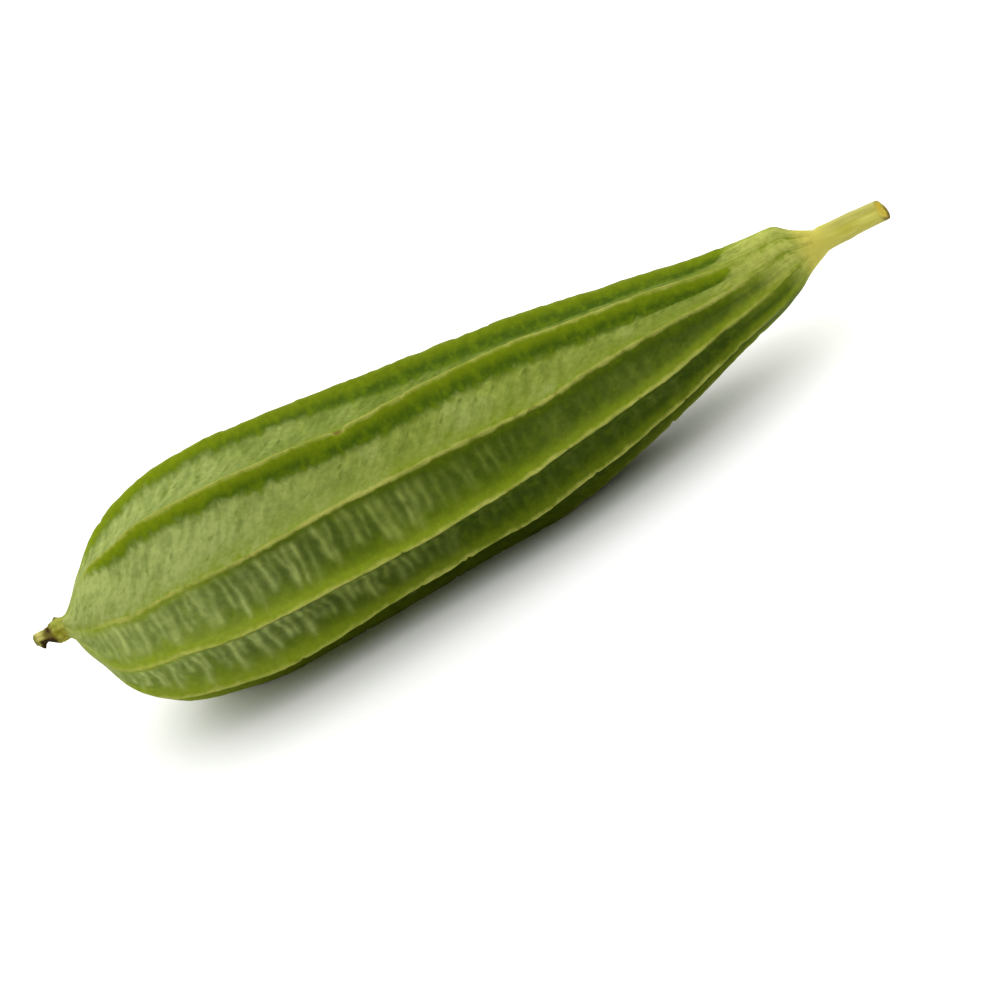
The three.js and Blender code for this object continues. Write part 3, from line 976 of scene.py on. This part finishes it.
class GourdStage(bpy.types.PropertyGroup):
    floor: colour_property("Floor", "The floor", "f8f8f7")
    floor_size: bpy.props.FloatProperty(
        name="Floor size",
        description="Length of the floor's sides",
        default=24.0,
        unit="LENGTH",
    )
    overhead: bpy.props.FloatProperty(
        name="Overhead light",
        description="Strength of the soft light overhead, in watts a square metre",
        default=4.4,
    )
    overhead_spread: bpy.props.FloatProperty(
        name="Overhead spread",
        description="How wide the overhead light is",
        default=np.radians(130),
        subtype="ANGLE",
    )
    surround: bpy.props.FloatProperty(
        name="Surround",
        description="Strength of the even light from all round",
        default=0.18,
    )


# ---- Operators ----------------------------------------------------------

def finish_piece(piece, node):
    """Attaches the piece to the body it moves with, and hides the solid that it stands for."""
    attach(piece, "root")
    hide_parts(node)


class MakeFruit(bpy.types.Operator):
    """Make the ribbed fruit"""
    bl_idname = "gourd.make_fruit"
    bl_label = "Fruit"

    def execute(self, context):
        settings = context.scene.gourd_rind
        rings, measures, arc = fruit_surface(settings)
        piece = tube_mesh("ribbed_fruit", rings, measures, arc, rind_material(settings))
        finish_piece(piece, "fruit")
        return {"FINISHED"}


class MakeStem(bpy.types.Operator):
    """Make the cut stem"""
    bl_idname = "gourd.make_stem"
    bl_label = "Stem"

    def execute(self, context):
        rings, measures, arc = stem_surface()
        material = stem_material(context.scene.gourd_stem)
        piece = tube_mesh("cut_stem", rings, measures, arc, material)
        finish_piece(piece, "stem")
        return {"FINISHED"}


class MakeFlower(bpy.types.Operator):
    """Make the dried flower remnant"""
    bl_idname = "gourd.make_flower"
    bl_label = "Dried flower"

    def execute(self, context):
        rings, measures, arc = remnant_surface()
        material = remnant_material(context.scene.gourd_flower)
        piece = tube_mesh("dried_flower", rings, measures, arc, material)
        finish_piece(piece, "flower_remnant")
        return {"FINISHED"}


class MakeStage(bpy.types.Operator):
    """Make the floor, the lights and the camera"""
    bl_idname = "gourd.make_stage"
    bl_label = "Stage"

    def execute(self, context):
        settings = context.scene.gourd_stage
        make_floor(context.scene, settings)
        make_lights(context.scene, settings)
        make_camera(context.scene)
        return {"FINISHED"}


def make_floor(scene, settings):
    """A square of painted board, matt: pale, with soft shadows and no reflections."""
    half = settings.floor_size / 2
    mesh = bpy.data.meshes.new("floor")
    corners = [(-half, -half, 0), (half, -half, 0), (half, half, 0), (-half, half, 0)]
    mesh.from_pydata(corners, [], [(0, 1, 2, 3)])
    mesh.materials.append(Shader("Painted board, matt").finish(Base_Color=settings.floor, Roughness=0.9))
    floor = bpy.data.objects.new("floor", mesh)
    scene.collection.objects.link(floor)


def make_lights(scene, settings):
    """A wide, soft light overhead, tilted a little, and an even white light from all round."""
    light = bpy.data.lights.new("overhead", "SUN")
    light.energy = settings.overhead
    light.angle = settings.overhead_spread
    overhead = bpy.data.objects.new("overhead", light)
    overhead.rotation_euler = (*OVERHEAD_TILT, 0)
    scene.collection.objects.link(overhead)
    world = bpy.data.worlds.new("studio")
    world.use_nodes = True
    background = world.node_tree.nodes["Background"]
    background.inputs["Color"].default_value = (1, 1, 1, 1)
    background.inputs["Strength"].default_value = settings.surround
    scene.world = world
    scene.view_settings.view_transform = "Standard"


def make_camera(scene):
    """Looks at the fruit square to its axis, but for the stem's turn towards the camera, and is
    rolled so that the axis rises to the right. The flower end falls on its pixel."""
    towards_front = np.array([0, -np.cos(CAMERA_ABOVE_FRONT), np.sin(CAMERA_ABOVE_FRONT)])
    backwards = np.cos(STEM_TURNED_TO_CAMERA) * towards_front
    backwards[0] = np.sin(STEM_TURNED_TO_CAMERA)
    over = np.array([0, np.sin(CAMERA_ABOVE_FRONT), np.cos(CAMERA_ABOVE_FRONT)])
    axis = np.cross(over, backwards)
    right = np.cos(AXIS_RISE) * axis - np.sin(AXIS_RISE) * over
    up = np.sin(AXIS_RISE) * axis + np.cos(AXIS_RISE) * over
    middle, flower_end = place(np.array([
        [FRUIT_MIDDLE, 0, 0],
        section_points(0, OUTLINE[0, 2], 0, 0),
    ]))
    backwards, right, up = turn(np.stack([backwards, right, up]))
    depth = CAMERA_DISTANCE + (middle - flower_end) @ backwards
    mm_per_pixel = depth / (CAMERA_DISTANCE * PIXELS_PER_MM)
    off_right = (FLOWER_END_PIXEL[0] - IMAGE_PIXELS / 2) * mm_per_pixel
    off_up = (IMAGE_PIXELS / 2 - FLOWER_END_PIXEL[1]) * mm_per_pixel
    location = (flower_end - off_right * right - off_up * up + depth * backwards) * MM
    data = bpy.data.cameras.new("camera")
    data.sensor_width = SENSOR
    data.lens = SENSOR * CAMERA_DISTANCE * PIXELS_PER_MM / IMAGE_PIXELS
    data.clip_end = SIGHT_METRES
    camera = bpy.data.objects.new("camera", data)
    turned = Matrix(np.stack([right, up, backwards], axis=-1).tolist()).to_4x4()
    camera.matrix_world = Matrix.Translation(Vector(location.tolist())) @ turned
    scene.collection.objects.link(camera)
    scene.camera = camera


class GourdPanel(bpy.types.Panel):
    """Lists the gourd's operators"""
    bl_idname = "VIEW3D_PT_gourd"
    bl_label = "Ridge gourd"
    bl_space_type = "VIEW_3D"
    bl_region_type = "UI"
    bl_category = "Gourd"

    def draw(self, context):
        for operator in OPERATORS:
            self.layout.operator(operator.bl_idname)


SETTINGS = {
    "gourd_rind": GourdRind,
    "gourd_stem": GourdStem,
    "gourd_flower": GourdFlower,
    "gourd_stage": GourdStage,
}
OPERATORS = (MakeFruit, MakeStem, MakeFlower, MakeStage)


def register():
    for cls in (*SETTINGS.values(), *OPERATORS, GourdPanel):
        bpy.utils.register_class(cls)
    for name, cls in SETTINGS.items():
        setattr(bpy.types.Scene, name, bpy.props.PointerProperty(type=cls))


def unregister():
    for name in SETTINGS:
        delattr(bpy.types.Scene, name)
    for cls in reversed((*SETTINGS.values(), *OPERATORS, GourdPanel)):
        bpy.utils.unregister_class(cls)


def main():
    register()
    bpy.ops.gourd.make_fruit()
    bpy.ops.gourd.make_stem()
    bpy.ops.gourd.make_flower()
    bpy.ops.gourd.make_stage()


if __name__ == "__main__":
    main()
